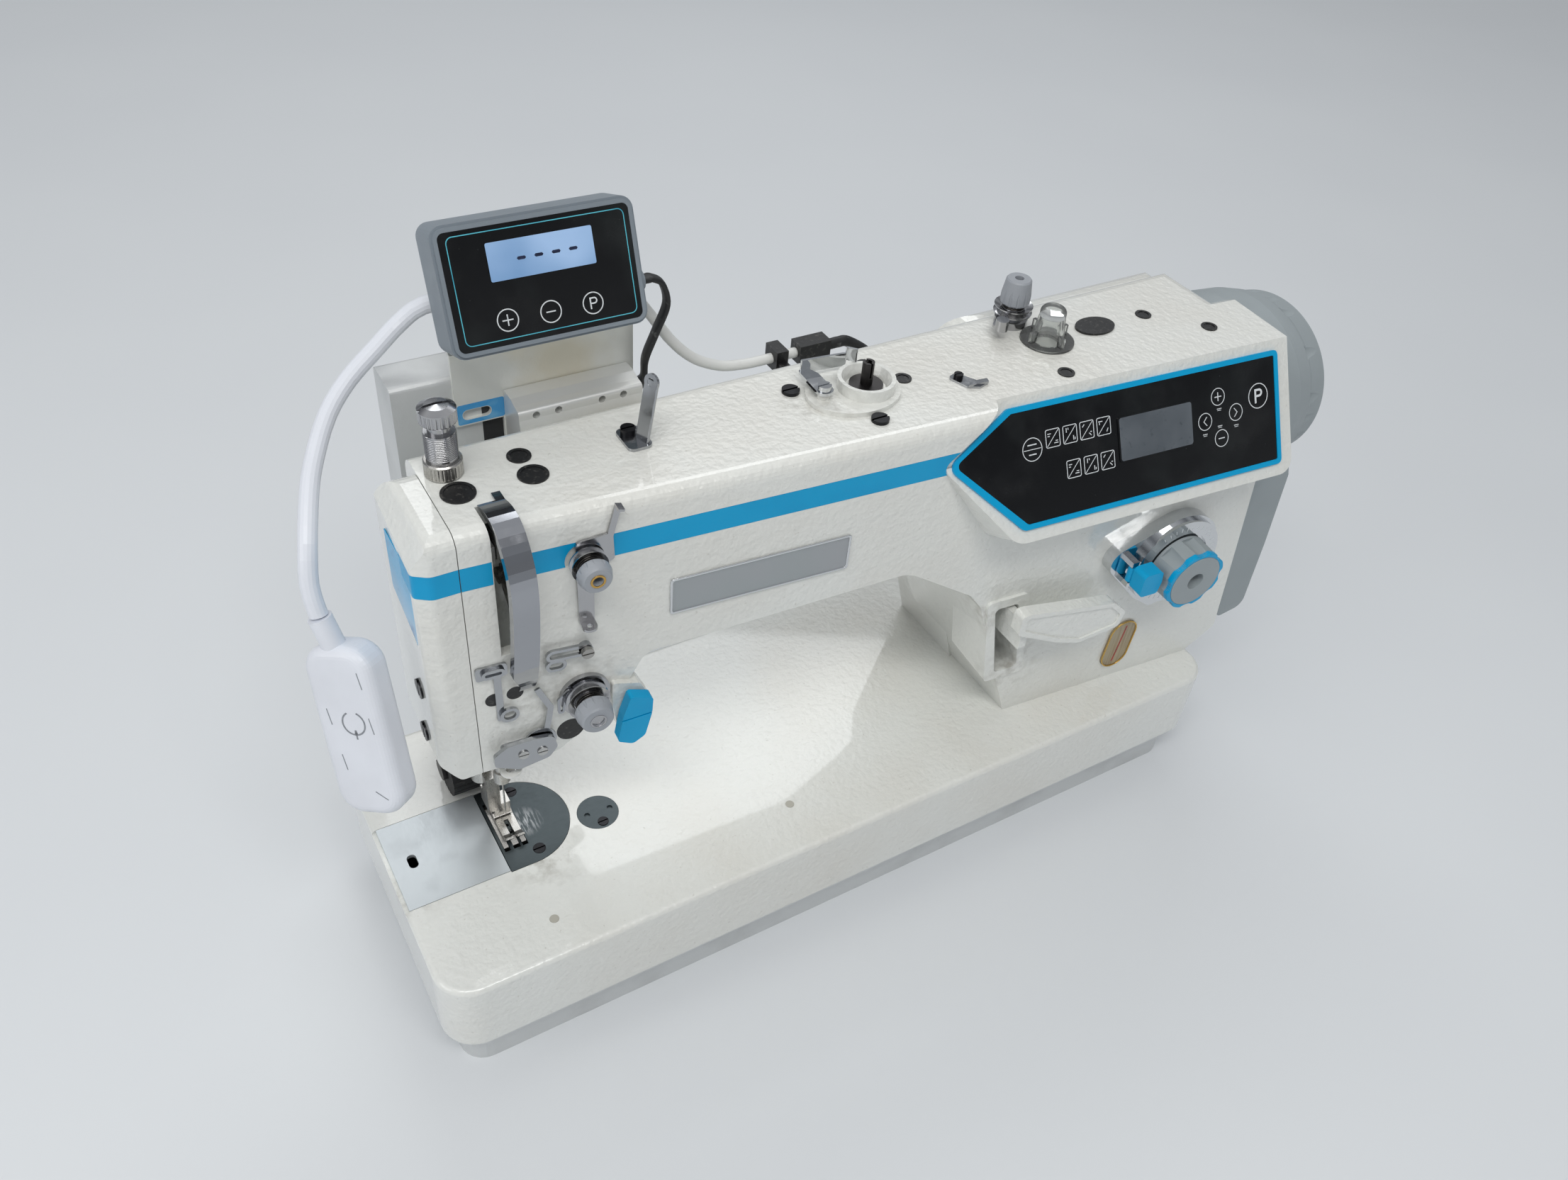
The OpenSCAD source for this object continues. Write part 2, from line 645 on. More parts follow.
// Rubber plugs on the front: place and diameter
front_plugs = [[-8.6, 131.5, 8], [1.5, 132.4, 8], [27, 97, 14]];

module oil_cap_outline(gap) { scale([12.25 + gap, 8.5 + gap]) circle(1, $fn = 48); }

module rubber_plugs() {
  color("black") above_bed() {
    for (p = top_plugs) difference() {
      translate([p[0], p[1], arm_top - 3]) cylinder(r = p[2] / 2, h = 3.6);
      translate([p[0], p[1], arm_top + 0.2]) cylinder(r = p[2] / 2 - 1.5, h = 1);
    }
    at([352.4, -0.3], arm_top - 3) linear_extrude(4.2) oil_cap_outline(0);
    for (p = front_plugs) on_front(p, -3) cylinder(r = p[2] / 2, h = 2.95);
    for (p = bed_plugs) at(p, -3) cylinder(r = 2.45, h = 3.2);
  }
}

module oil_sight_dome() {
  color("gainsboro") above_bed() at(sight_axis, arm_top - 2) difference() {
    union() {
      cylinder(r = 14.5, h = 3.2);
      cylinder(r1 = 9.5, r2 = 7, h = 17);
      translate([0, 0, 17]) rotate_extrude() difference() {
        union() { square([7, 2]); square([4, 5]); translate([4, 2]) circle(3); }
        translate([-10, -10]) square([10, 20]);
      }
      for (a = [0:90:270]) rotate([0, 0, a]) translate([6, -1, 0]) cube([6.5, 2, 9]);
    }
    translate([0, 0, -1]) cylinder(r1 = 7.6, r2 = 5, h = 17);
  }
}

module gauge_outline(gap) {
  rotate([0, 0, -4]) polygon(box_outline(-10 - gap, 10 + gap, -19 - gap, 19 + gap, 9.8));
}

module oil_gauge_window() {
  color("goldenrod") above_bed() on_front([383.4, 29.4], -3) linear_extrude(4) gauge_outline(0);
}

// Side curve of the take-up guard, from the arm's top down to the front face
guard_path = curve([[-12, arm_top + 0.8], [-22, arm_top + 3.6], [-33, arm_top + 2], [-41, arm_top - 6],
  [-46, arm_top - 17], [-47.2, arm_top - 31], [-45.6, arm_top - 48], [-42.5, arm_top - 68],
  [-38.5, arm_top - 84], [-33.5, arm_top - 94]], 3);

// The guard path moved inward by d
function inner(p, d) = [for (i = [0:len(p)-1]) let (t = tangent(p, i)) p[i] + d * [-t.y, t.x]];
function backwards(p) = [for (i = [len(p)-1:-1:0]) p[i]];

module guard_band(d0, d1) { polygon(concat(inner(guard_path, d0), backwards(inner(guard_path, d1)))); }

module take_up_guard() {
  x0 = slot_mid - guard_w / 2 + 2.5;
  color("gainsboro") above_bed() {
    difference() {
      along_x(x0, x0 + guard_w) guard_band(0, guard_lip);
      along_x(x0 + guard_t, x0 + guard_w - guard_t) guard_band(guard_t, guard_lip + 1);
      // cut where it meets the casting
      translate([x0 - 1, fy(x0 + guard_w) - 0.2, 100]) cube([guard_w + 2, 60, arm_top - 99.95]);
      translate([x0 - 1, fy(x0 + guard_w) - 0.2, arm_top - 6]) cube([guard_w + 2, 60, 6.05]);
      // lower end, drawn in from the left
      along_y(-60, -20) polygon([[x0 - 1, 120], [x0 + 4.4, 120], [x0 + 4.2, 141], [x0 - 1, 154]]);
    }
    // foot screwed down beside the slot
    translate([x0 + guard_w - 4, -16, arm_top + 0.05]) cube([4, 9, 1.2]);
  }
}

// Flat wire loop of outer size l by w, wire thickness t
module wire_loop(l, w, t) {
  linear_extrude(t) difference() {
    polygon(box_outline(0, l, 0, w, w / 2 - 0.01));
    polygon(box_outline(t, l - t, t, w - t, w / 2 - t - 0.01));
  }
}

module thread_guides() {
  color("gainsboro") above_bed() {
    // strap guide beside the seam with its hooked ends
    on_front([-16, 147], 0.06) {
      linear_extrude(1.4) polygon(box_outline(0, 14.7, 0, 7.5, 1.5));
      translate([2.4, 1.2, 1.3]) wire_loop(11, 5, 1.6);
      translate([8, -29, 0]) linear_extrude(1.4) polygon(box_outline(0, 3.4, 0, 31, 1));
      translate([9, -29.6, 1.3]) wire_loop(9.2, 8.4, 1.6);
    }
    // oblong guide with its hook, held by one screw
    on_front([16, 149.4], 2) rotate([0, 0, -4]) {
      wire_loop(22.5, 6.6, 1.6);
      translate([0, -6.4, 0]) wire_loop(10, 7, 1.6);
    }
    on_front(oblong_screw) cylinder(r = 3.2, h = 2.1);
    // clamping plate with its finger and two flush screws, over a thread disc
    difference() {
      on_front([-11, 85]) {
        translate([0, 0, 4.5]) linear_extrude(2.2) polygon(outline([[-1.7, 14.5, 2.5], [-1.8, 7.8, 2.5],
          [10.2, 1.5, 4], [25, 4.3, 4], [29.5, 10.1, 4], [27.8, 18.4, 4], [17.5, 19.8, 4], [5.1, 19, 3]]));
        linear_extrude(4.6) polygon(box_outline(3, 26, 5.5, 15, 2));
        translate([22, 14, 2.5]) cylinder(r = 8, h = 1.2);
        translate([0, 0, 2.6]) linear_extrude(1.2) polygon(outline([[22, 12, 0], [25.3, 12, 0], [27.9, 26, 2],
          [29.5, 35.4, 2], [23.4, 50, 0.6], [20.6, 48.9, 0.6], [26.4, 35, 2], [24.9, 26.3, 2]]));
      }
      for (p = clamp_screws) on_front(p, 5.7) cylinder(r = 2.65, h = 3);
    }
    // ring guide under the head
    difference() {
      union() {
        translate([-4, -30, head_bottom - 4]) cylinder(r = 5.4, h = 1.6);
        translate([-7, -27, head_bottom - 4]) cube([6, 16, 1.6]);
        translate([-7, -14, head_bottom - 4]) cube([6, 6, 4]);
      }
      translate([-4, -30, head_bottom - 5]) cylinder(r = 2.7, h = 4);
    }
    // tall guide on the arm's top
    translate([72.9, 4.3, arm_top]) linear_extrude(1.6) polygon(box_outline(0, 12, -8, 9.5, 3));
    translate([82, -2.5, arm_top + 1.5]) rotate([0, 12, 20]) {
      linear_extrude(30) polygon(box_outline(0, 1.4, 0, 8, 0.5));
      translate([0.6, 4, 29]) rotate([90, 0, 90]) difference() {
        cylinder(r = 4, h = 1.4, center = true);
        cylinder(r = 2, h = 3, center = true);
      }
    }
    // thread cutter
    translate([245, -22, arm_top]) linear_extrude(1.2) polygon(outline([[0, 11, 2], [6, 13, 2], [12, 3, 1],
      [17, -1, 0.5], [10, -3, 0.5], [4, 0, 1]]));
    translate([249, -24, arm_top + 1.1]) linear_extrude(1.2) polygon(outline([[0, 1, 0.5], [12, 0, 0.5],
      [13, 3, 0.5], [3, 4, 0.5]]));
  }
}

// Thread disc, dished to its rim
module thread_disc(d, hole) {
  rotate_extrude() polygon([[hole, 0], [d / 2 - 3, 0], [d / 2, 1.6], [d / 2, 2.2], [d / 2 - 3.4, 0.8],
    [hole, 0.8]]);
}

// Cone-shaped coil spring from z0 to z1, its radius going from r0 to r1
module coil_spring(inner, r0, r1, z0, z1) {
  turns = 4;
  pitch = (z1 - z0) / turns;
  rotate_extrude() polygon(concat([[inner, z0]], [for (k = [0:turns-1]) let (r = r0 + (r1 - r0) * k / turns,
    z = z0 + pitch * k) each [[r - 0.9, z], [r, z + 0.25 * pitch], [r, z + 0.6 * pitch],
    [r - 0.9, z + 0.85 * pitch]]], [[inner, z1]]));
}

// Turned tension post of reach h on its base, with two discs and the spring up to the knob
module tension_set(d, post_r, h, base_r, seat, knob_z) {
  cylinder(r = base_r, h = seat);
  translate([0, 0, -12]) cylinder(r = post_r, h = h + 12);
  translate([0, 0, seat - 0.5]) cylinder(r = post_r + 1.5, h = 3.6);
  translate([0, 0, seat + 3.8]) mirror([0, 0, 1]) thread_disc(d, post_r - 0.2);
  translate([0, 0, seat + 3.6]) thread_disc(d, post_r - 0.2);
  coil_spring(post_r - 0.2, post_r + 3.6, post_r + 2, seat + 4.2, knob_z - 0.1);
}

main_knob_z = 12;
front_knob_z = 10;
top_knob_z = 9.6;

module tension_discs() {
  color("silver") above_bed() {
    on_front(front_tension) {
      tension_set(17, 2.4, 12, 6, 1, front_knob_z);
      // plate with its guide lip below and its hooked finger above
      translate([0, 0, 0.3]) linear_extrude(1.4) polygon(outline([[-4.3, -37, 0], [2.8, -37, 0], [3.2, -6, 2],
        [13, -2.5, 2], [12.3, 12.3, 2], [-5, 11, 3]]));
      translate([0, -35.6, 0.4]) rotate([90, 0, 0]) linear_extrude(1.4) difference() {
        polygon(outline([[-4.3, 0, 0], [2.8, 0, 0], [2.8, 8, 3], [-4.3, 8, 3]]));
        translate([-0.75, 4.8]) circle(1.3);
      }
      translate([9, 9, 0.5]) rotate([0, 0, -14]) {
        cube([3, 19, 1.2]);
        translate([0, 17.8, 0]) cube([3, 1.2, 5]);
      }
    }
    on_front(main_tension) tension_set(tension_disc_d, 3, 20, 12.5, 2.5, main_knob_z);
    at(top_tension, arm_top) {
      cylinder(r = 9, h = 4);
      translate([0, 0, 3]) tension_set(tension_disc_d, 2.4, 20, 6, 2.5, top_knob_z);
      translate([-17, -12, 6]) rotate([0, 0, 40]) linear_extrude(1.4) polygon(box_outline(0, 16, 0, 5, 2));
      translate([-17, -12, 6]) cylinder(r = 3.5, h = 6);
    }
  }
}

// Tapered cap knob with ridges moulded round its skirt
module knob(d, h, hole) {
  difference() {
    rotate_extrude() polygon([[hole, 0], [d / 2 - 0.6, 0], [d / 2, 0.8], [d / 2, h * 0.35],
      [d / 2 - 1.1, h - 0.8], [d / 2 - 1.8, h], [hole, h]]);
    for (a = [0:30:359]) rotate([0, 0, a]) translate([d / 2 + 0.4, 0, -1])
      cylinder(r = 0.9, h = h + 2, $fn = 16);
  }
}

module main_tension_knob() {
  color("darkgray") above_bed() on_front(main_tension, main_knob_z)
    knob(main_knob_d, 8.6, 3 + run_gap);
}

module front_tension_knob() {
  color("darkgray") above_bed() on_front(front_tension, front_knob_z)
    knob(small_knob_d, 6.4, 2.4 + run_gap);
}

module top_tension_knob() {
  color("darkgray") above_bed() at(top_tension, arm_top + 3 + top_knob_z)
    knob(small_knob_d, 14, 2.4 + run_gap);
}

module check_spring() {
  color("silver") above_bed() on_front(main_tension) {
    translate([0, 0, 2.6]) difference() {
      cylinder(r = 9.5, h = 0.9);
      translate([0, 0, -1]) cylinder(r = 4.55, h = 3);
    }
    // wire bent out to its thread loop
    translate([0, 0, 2.75]) linear_extrude(1.1) difference() {
      polygon(outline([[-4.5, 7, 1], [-9, 8, 2], [-14.4, 3, 2], [-14.4, -6.5, 1.6], [-11.4, -6.5, 1.4],
        [-9.6, 3, 1.5], [-7, 4, 1]]));
      polygon(outline([[-9.6, 6, 0.2], [-13, 2.6, 0.8], [-13, -5, 0.4], [-12.1, -5, 0.3],
        [-10.8, 3.4, 0.8]]));
    }
  }
}

module winder_plate() {
  color("ivory") above_bed() difference() {
    union() {
      translate([193, -3, arm_top]) linear_extrude(2.5) scale([25, 20]) circle(1, $fn = 64);
      at(winder_axis, arm_top + 1) cylinder(r = cup_r, h = cup_h + 1.5);
      at(winder_pivot, arm_top + 1) cylinder(r = 3.2, h = 4.4);
    }
    at(winder_axis, arm_top + 3) rotate_extrude() polygon([[0, 0], [cup_r - 4.5, 0], [cup_r - 1.8, cup_h],
      [0, cup_h]]);
    at(winder_axis, arm_top - 1) cylinder(r = spindle_r + 0.4, h = 10);
    for (p = winder_screws) at(p, arm_top) cylinder(r = screw_r + 0.1, h = 6);
  }
}

module winder_spindle() {
  color("dimgray") above_bed() at(winder_axis, arm_top) difference() {
    union() {
      translate([0, 0, -16]) cylinder(r = spindle_r, h = 16 + spindle_h);
      translate([0, 0, 3.6]) cylinder(r = 8.5, h = 1.4);
      translate([0, 0, -16]) cylinder(r = 5, h = 8);
    }
    translate([-0.5, -5, spindle_h - 8]) cube([1, 10, 9]);
    translate([0, 0, spindle_h - 6]) cylinder(r = 1.6, h = 7);
  }
}

module winder_lever() {
  color("gainsboro") above_bed() at(winder_pivot, arm_top + 5.6) {
    difference() {
      linear_extrude(1.5)
        polygon(outline([[-4.5, -4, 4], [4.5, -4, 4], [5, 14, 3], [2, 21, 2], [-3, 20, 2]]));
      translate([0, 0, -1]) cylinder(r = 2, h = 4);
    }
    translate([-2, 19, 0]) rotate([0, 0, -6]) {
      linear_extrude(7) polygon(box_outline(0, 25, 0, 1.4, 0.6));
      translate([24, 0, 3.4]) rotate([0, 0, -40]) linear_extrude(7)
        polygon(box_outline(0, 6, 0, 1.4, 0.6));
    }
    difference() {
      translate([0, 0, 1.6]) cylinder(r = 3.4, h = 2.6);
      translate([-5, -0.4, 3.2]) cube([10, 0.8, 2]);
    }
    translate([0, 0, -0.1]) cylinder(r = 2, h = 2);
  }
}

module dial_escutcheon() {
  color("gainsboro") above_bed() {
    on_front(dial_axis) difference() {
      union() {
        linear_extrude(8) hull() {
          circle(dial_ring_r + 2);
          translate([-38, 9]) circle(10);
          translate([-4, -28]) circle(7);
        }
        cylinder(r = dial_ring_r, h = 11.5);
      }
      translate([0, 0, -1]) cylinder(r = 6 + run_gap, h = 14);
      translate([0, 0, 10]) difference() {
        cylinder(r = dial_d / 2 + 1.5, h = 3);
        translate([0, 0, -1]) cylinder(r = 9, h = 5);
      }
    }
    // lugs and pin that carry the lock
    for (y = [-9, 5.3]) on_front(lock_place) translate([lock_pivot_x - 2.2, y, 7])
      cube([4.4, 3.7, lock_pivot_off - 5.4]);
    lock_bar(-9, 9, lock_pin_r);
  }
}

module stitch_dial() {
  color("darkgray") above_bed() on_front(dial_axis) difference() {
    union() {
      rotate_extrude() polygon([[0, 11.8], [dial_d / 2, 11.8], [dial_d / 2 - 0.6, dial_reach - 2],
        [dial_d / 2 - 2, dial_reach], [0, dial_reach]]);
      translate([0, 0, -24]) cylinder(r = 6, h = 37);
    }
    for (a = [0:45:359]) rotate([0, 0, a]) translate([dial_d / 2 + 5.5, 0, 13.5]) cylinder(r = 7.5, h = 30);
    translate([0, 0, dial_reach - 6]) cylinder(r = 5.4, h = 8);
  }
}

lock_place = dial_axis + [-28.5, 3];
lock_pivot_x = -6;
lock_pivot_off = 12;
lock_knuckle_r = 2.6;
lock_pin_r = 1.2;

// A round bar up the front face at the lock's pivot, from y0 to y1
module lock_bar(y0, y1, r) {
  on_front(lock_place) translate([lock_pivot_x, y1, lock_pivot_off]) rotate([90, 0, 0])
    cylinder(r = r, h = y1 - y0);
}

module dial_lock() {
  color("deepskyblue") above_bed() difference() {
    union() {
      on_front(lock_place, lock_pivot_off + 3) linear_extrude(10)
        polygon(outline([[-8, -8, 3], [5, -8, 2], [6.2, 0, 3], [5, 8, 2], [-8, 8, 3]]));
      lock_bar(-4.9, 4.9, lock_knuckle_r);
      on_front(lock_place) translate([lock_pivot_x, -4.9, lock_pivot_off]) cube([2.4, 9.8, 4]);
    }
    lock_bar(-20, 20, lock_pin_r + run_gap);
  }
}

lever_hinge = [15, 80];
lever_x = 285.5;
lever_arm_t = 5;

// Slanted window in the pillar's front edge, wider by g
module window_outline(g) {
  polygon(outline([[275 - g, 95 + g, 3], [291 + g, 95 + g, 3], [302 + g, 41 - g, 3], [286 - g, 41 - g, 3]]));
}

// Room of the reverse lever behind its window
module lever_room() {
  intersection() {
    along_y(-120, 30) window_outline(0);
    along_x(250, 320) polygon([[31, 100], [31, 62], [-10, 58], [-26, 30], [-120, 30], [-120, 100]]);
  }
}

module reverse_lever() {
  color("ivory") above_bed() difference() {
    union() {
      // arm from the hinge out through the window
      along_x(lever_x, lever_x + lever_arm_t) polygon(outline([[lever_hinge[0] + 8, 87, 5],
        [lever_hinge[0] + 8, 73, 5], [-58, 72, 2], [-68, 72, 1], [-68, 92, 1], [-58, 92, 2]]));
      // triangular pad before the pillar's front, its face sunk inside a rim
      on_front([282, 66], 11) difference() {
        linear_extrude(pad_t) polygon(outline([[-1, 22, 2], [-1, 36, 3], [5, 36, 3], [66, 25, 5], [77, 15, 4],
          [75, 4, 4], [47, 0, 6], [30, 6, 8]]));
        translate([0, 0, pad_t - 1.2]) linear_extrude(2) polygon(outline([[3, 24, 1], [3, 32.6, 2],
          [5.5, 32.8, 2], [64.6, 22.2, 3], [73.6, 13.8, 3], [72.4, 6.4, 2], [47.2, 2.8, 4], [31.6, 8.4, 6]]));
      }
    }
    translate([0, lever_hinge[0], lever_hinge[1]]) bar_x(260, 300, 3 + run_gap);
  }
}

module panel_frame(d, r) {
  l = -panel_l;
  polygon(outline([[l + d, d, r], [-d, d, max(r - 2, 1)], [-d, panel_up - d, max(r - 2, 1)],
    [l - 3.3 + 0.6 * d, panel_up - d, r], [l - 41 + 1.5 * d, 41, r]]));
}

module panel_bezel() {
  color("deepskyblue") above_bed() on_panel() linear_extrude(1.6) difference() {
    panel_frame(0, 5);
    panel_frame(frame_w, 3);
  }
}

module panel_glass() {
  color("black") above_bed() {
    on_panel() linear_extrude(1.2) panel_frame(frame_w + 0.1, 3);
    on_panel(1.15) linear_extrude(0.5) polygon(box_outline(-112, -61.5, 22.3, 47, 2));
  }
}

module handwheel() {
  color("darkgray") above_bed() at_shaft() difference() {
    rotate([90, 0, 90]) difference() {
      rotate_extrude() polygon([[shaft_r, wheel_x], [wheel_r, wheel_x], [wheel_r + 0.5, wheel_x + 12],
        [wheel_r - 1.5, wheel_x + 34], [wheel_rim_r + 1.5, wheel_x + wheel_skirt_l],
        [wheel_rim_r, wheel_x + wheel_skirt_l + 3], [wheel_rim_r - 2, wheel_end - 4],
        [wheel_rim_r - 8, wheel_end], [shaft_r, wheel_end]]);
      // hollow towards the pillar
      translate([0, 0, wheel_x - 1]) difference() {
        cylinder(r = wheel_r - 6, h = 30);
        translate([0, 0, -1]) cylinder(r = 20, h = 40);
      }
      for (k = [0:wheel_grips - 1]) rotate([0, 0, 360 * k / wheel_grips])
        translate([wheel_rim_r + 3.6, 0, wheel_x + wheel_skirt_l])
          cylinder(r = 5, h = wheel_rim_l + 2, $fn = 24);
      // dished end face
      translate([0, 0, wheel_end - 5]) cylinder(r1 = 26, r2 = 36, h = 6);
    }
  }
}

module main_shaft() {
  color("silver") above_bed() at_shaft() {
    bar_x(20, wheel_x + wheel_skirt_l + 12, shaft_r);
    // crank with its counterweight
    bar_x(14, 26, 12);
    difference() {
      bar_x(15, 25, 21);
      translate([10, -30, 4]) cube([20, 60, 40]);
    }
    translate([0, 0, needle_stroke / 2]) bar_x(7, 20, 4);
    translate([15, -6, 0]) cube([10, 12, needle_stroke / 2 + 4]);
    // belt pulley with its flanges
    bar_x(belt_x, belt_x + belt_w, pulley_r);
    for (x = [belt_x - 2, belt_x + belt_w + 0.4]) bar_x(x, x + 1.6, pulley_r + 3);
    // rotor of the motor
    bar_x(372, 424, 20);
  }
}

// Tangent loop round two circles, seen along X: r0 at the lower place, r1 at the upper one
module belt_loop(r0, r1) {
  hull() {
    translate([shaft_y, shaft_z]) circle(r1);
    translate([0, hook_z]) circle(r0);
  }
}

module timing_belt() {
  color("black") above_bed() along_x(belt_x + 0.4, belt_x + belt_w - 0.4) difference() {
    belt_loop(pulley_r / 2 + 2, pulley_r + 2);
    belt_loop(pulley_r / 2 + 0.25, pulley_r + 0.25);
  }
}

module hook_shaft() {
  color("silver") above_bed() at_hook() {
    bar_x(2, 376, hook_shaft_r);
    bar_x(belt_x, belt_x + belt_w, pulley_r / 2);
    for (x = [belt_x - 2, belt_x + belt_w + 0.4]) bar_x(x, x + 1.6, pulley_r / 2 + 2.5);
  }
}

module rotary_hook() {
  color("silver") above_bed() at_hook() difference() {
    union() {
      bar_x(-22, -1.2, hook_r);
      bar_x(-3, 2, hook_shaft_r);
    }
    bar_x(-23, -5, hook_r - 2.6);
    // notch that leaves the hook's point
    translate([-12, -6, hook_r - 6]) rotate([-24, 0, 0]) cube([11, 26, 9]);
    translate([-23, -hook_r - 1, -4]) cube([6, 8, 12]);
  }
}

module bobbin_case() {
  color("silver") above_bed() at_hook() {
    difference() {
      bar_x(-21.8, -6, hook_r - 3);
      bar_x(-20.6, -5, hook_r - 4.4);
      translate([-22.5, -4, 8]) cube([8, 8, 10]);
    }
    bar_x(-21, -8, 2.6);
  }
}

module bobbin() {
  color("gainsboro") above_bed() at_hook() difference() {
    union() {
      bar_x(-19.8, -18.6, 10.5);
      bar_x(-11, -9.8, 10.5);
      bar_x(-19, -10, 5);
    }
    bar_x(-24, -2, 2.6 + run_gap);
  }
}

needle_tip = 10;
clamp_z = 40.3;

module needle_bar() {
  color("silver") above_bed() {
    translate([0, 0, clamp_z]) cylinder(r = needle_bar_r, h = 173);
    difference() {
      translate([0, 0, clamp_z - 1]) cylinder(r = needle_bar_r + 0.8, h = 8);
      translate([0, 0, clamp_z - 2]) cylinder(r = 0.9, h = 6);
    }
    translate([3, 0, clamp_z + 3]) bar_x(0, 4, 1.6);
    translate([0, 0, needle_tip + 4]) cylinder(r = 0.5, h = clamp_z - needle_tip);
    translate([0, 0, needle_tip]) cylinder(r1 = 0.1, r2 = 0.5, h = 4.05);
    // collar driven by the crank
    translate([-5, -5, shaft_z - 10]) intersection() {
      cube([9, 10, 14]);
      translate([5, 5, 0]) cylinder(r = 5.4, h = 14);
    }
  }
}

module take_up_lever() {
  color("silver") above_bed() difference() {
    along_x(lever_x0, lever_x0 + lever_t) polygon(outline([[take_up_axis[0] + 6, take_up_axis[1] - 4, 4],
      [take_up_axis[0] + 5, take_up_axis[1] + 6, 4], [6, 197, 10], [-26, 219, 6], [-33, 220, 3],
      [-33, 213, 3], [-26, 211, 6], [6, 183, 10]]));
    translate([0, take_up_axis[0], take_up_axis[1]]) bar_x(0, 8, 2.5 + run_gap);
    translate([0, -29.6, 216.2]) bar_x(0, 8, 1.4);
  }
}

module presser_bar() {
  color("silver") above_bed() {
    at(presser_axis, 30) cylinder(r = presser_bar_r, h = 166);
    at(presser_axis, 150) cylinder(r = presser_bar_r + 2.4, h = 12);
  }
}

foot_gap = 0.3;

module presser_foot() {
  color("silver") above_bed() {
    difference() {
      union() {
        // clamp round the bar and shank down to the sole
        at(presser_axis, 28) cylinder(r = presser_bar_r + 1.9, h = 16);
        translate([-7.5, 5, 9]) cube([7, 12, 27]);
        translate([-4.5, 5, 4]) cube([9, 9, 9]);
        // sole with its turned-up toe
        translate([0, 0, foot_gap]) along_x(-5.2, 5.2) polygon(outline([[-9, 0, 0], [18.6, 0, 0],
          [18.6, 2, 1], [12, 4, 2], [7.5, 4, 1], [5.4, 2.3, 1], [-8, 2.2, 2], [-13, 6, 1],
          [-14, 5, 0.5]]));
      }
      at(presser_axis, 20) cylinder(r = presser_bar_r + 0.02, h = 30);
      // gap between the toes, for the needle
      translate([-1.3, -20, -1]) cube([2.6, 22, 20]);
    }
    at(presser_axis, 28 + 9) translate([-11, 0, 0]) bar_x(0, 6, 2.4);
  }
}

feed_tooth = 1.2;

module feed_dog() {
  y0 = feed_slot_y + feed_travel + 0.6;
  y1 = feed_slot_y + feed_slot_l - feed_travel - 0.6;
  module row(a, b) {
    n = floor((b - a) / feed_tooth);
    polygon(concat([[a, -3.2]], [for (k = [0:n-1]) each [[a + k * feed_tooth, -0.9],
      [a + (k + 0.75) * feed_tooth, -0.1]]], [[a + n * feed_tooth, -0.9], [a + n * feed_tooth, -3.2]]));
  }
  color("silver") above_bed() difference() {
    union() {
      for (r = feed_rows) along_x(r[0], r[1]) {
        if (r[0] < 0 && r[1] > 0) {
          row(3.2 + feed_travel + 0.6, y1);
          row(y0, -3.2 - feed_travel - 0.6);
        } else {
          row(y0, y1);
        }
      }
      translate([-7, y0, -5]) cube([12.6, y1 - y0, 2]);
      translate([2, -6, -12]) cube([3.6, 18, 8]);
      // bar between the two feed shafts
      translate([2, -feed_shaft_y - 9, feed_shaft_z - 2]) cube([7, 2 * feed_shaft_y + 18, 5]);
      for (y = [-feed_shaft_y, feed_shaft_y]) translate([2, y - 9, feed_shaft_z - 7]) cube([7, 18, 13.5]);
    }
    cube([2.8, 2 * feed_travel + 2.8, 30], center = true);
    for (y = [-feed_shaft_y, feed_shaft_y])
      translate([0, y - feed_shaft_r - feed_travel - 0.3, feed_shaft_z - feed_shaft_r - 0.15])
        cube([12, 2 * (feed_shaft_r + feed_travel + 0.3), 2 * feed_shaft_r + 0.3]);
  }
}

module slide_plate() {
  color("silver") above_bed() difference() {
    translate([-plate_seam - fit - slide_l, -29, -plate_t]) cube([slide_l, 57.2, plate_t]);
    translate([-52.6, 0, -5]) linear_extrude(10) polygon(box_outline(-2.5, 2.5, -4.5, 4.5, 2.4));
  }
}

module presser_screw() {
  r = presser_thread_d / 2;
  z1 = arm_top + presser_thread_l;
  color("gainsboro") above_bed() at(presser_axis, 0) difference() {
    union() {
      translate([0, 0, 214]) cylinder(r = r, h = z1 - 214);
      translate([0, 0, z1 - eps]) cylinder(r = 5, h = 6);
      translate([0, 0, z1 + 5]) rotate_extrude() polygon([[0, 0], [presser_head_d / 2 - 0.6, 0],
        [presser_head_d / 2, 0.6], [presser_head_d / 2, 6.4], [presser_head_d / 2 - 3, 8], [0, 8.6]]);
    }
    translate([-12, -0.8, z1 + 11.4]) cube([24, 1.6, 5]);
    for (a = [0:12:359]) rotate([0, 0, a]) translate([presser_head_d / 2 + 0.25, 0, z1 + 5.6])
      cylinder(r = 0.55, h = 5.2, $fn = 8);
  }
}

module lock_nut() {
  color("gray") above_bed() at(presser_axis, arm_top + 0.05) difference() {
    rotate_extrude() polygon([[presser_thread_d / 2 + run_gap, 0], [lock_nut_d / 2 - 0.6, 0],
      [lock_nut_d / 2, 0.6], [lock_nut_d / 2, 7.4], [lock_nut_d / 2 - 0.6, 8],
      [presser_thread_d / 2 + run_gap, 8]]);
    for (a = [0:12:359]) rotate([0, 0, a]) translate([lock_nut_d / 2 + 0.3, 0, 1.2])
      cylinder(r = 0.6, h = 5.6, $fn = 8);
  }
}

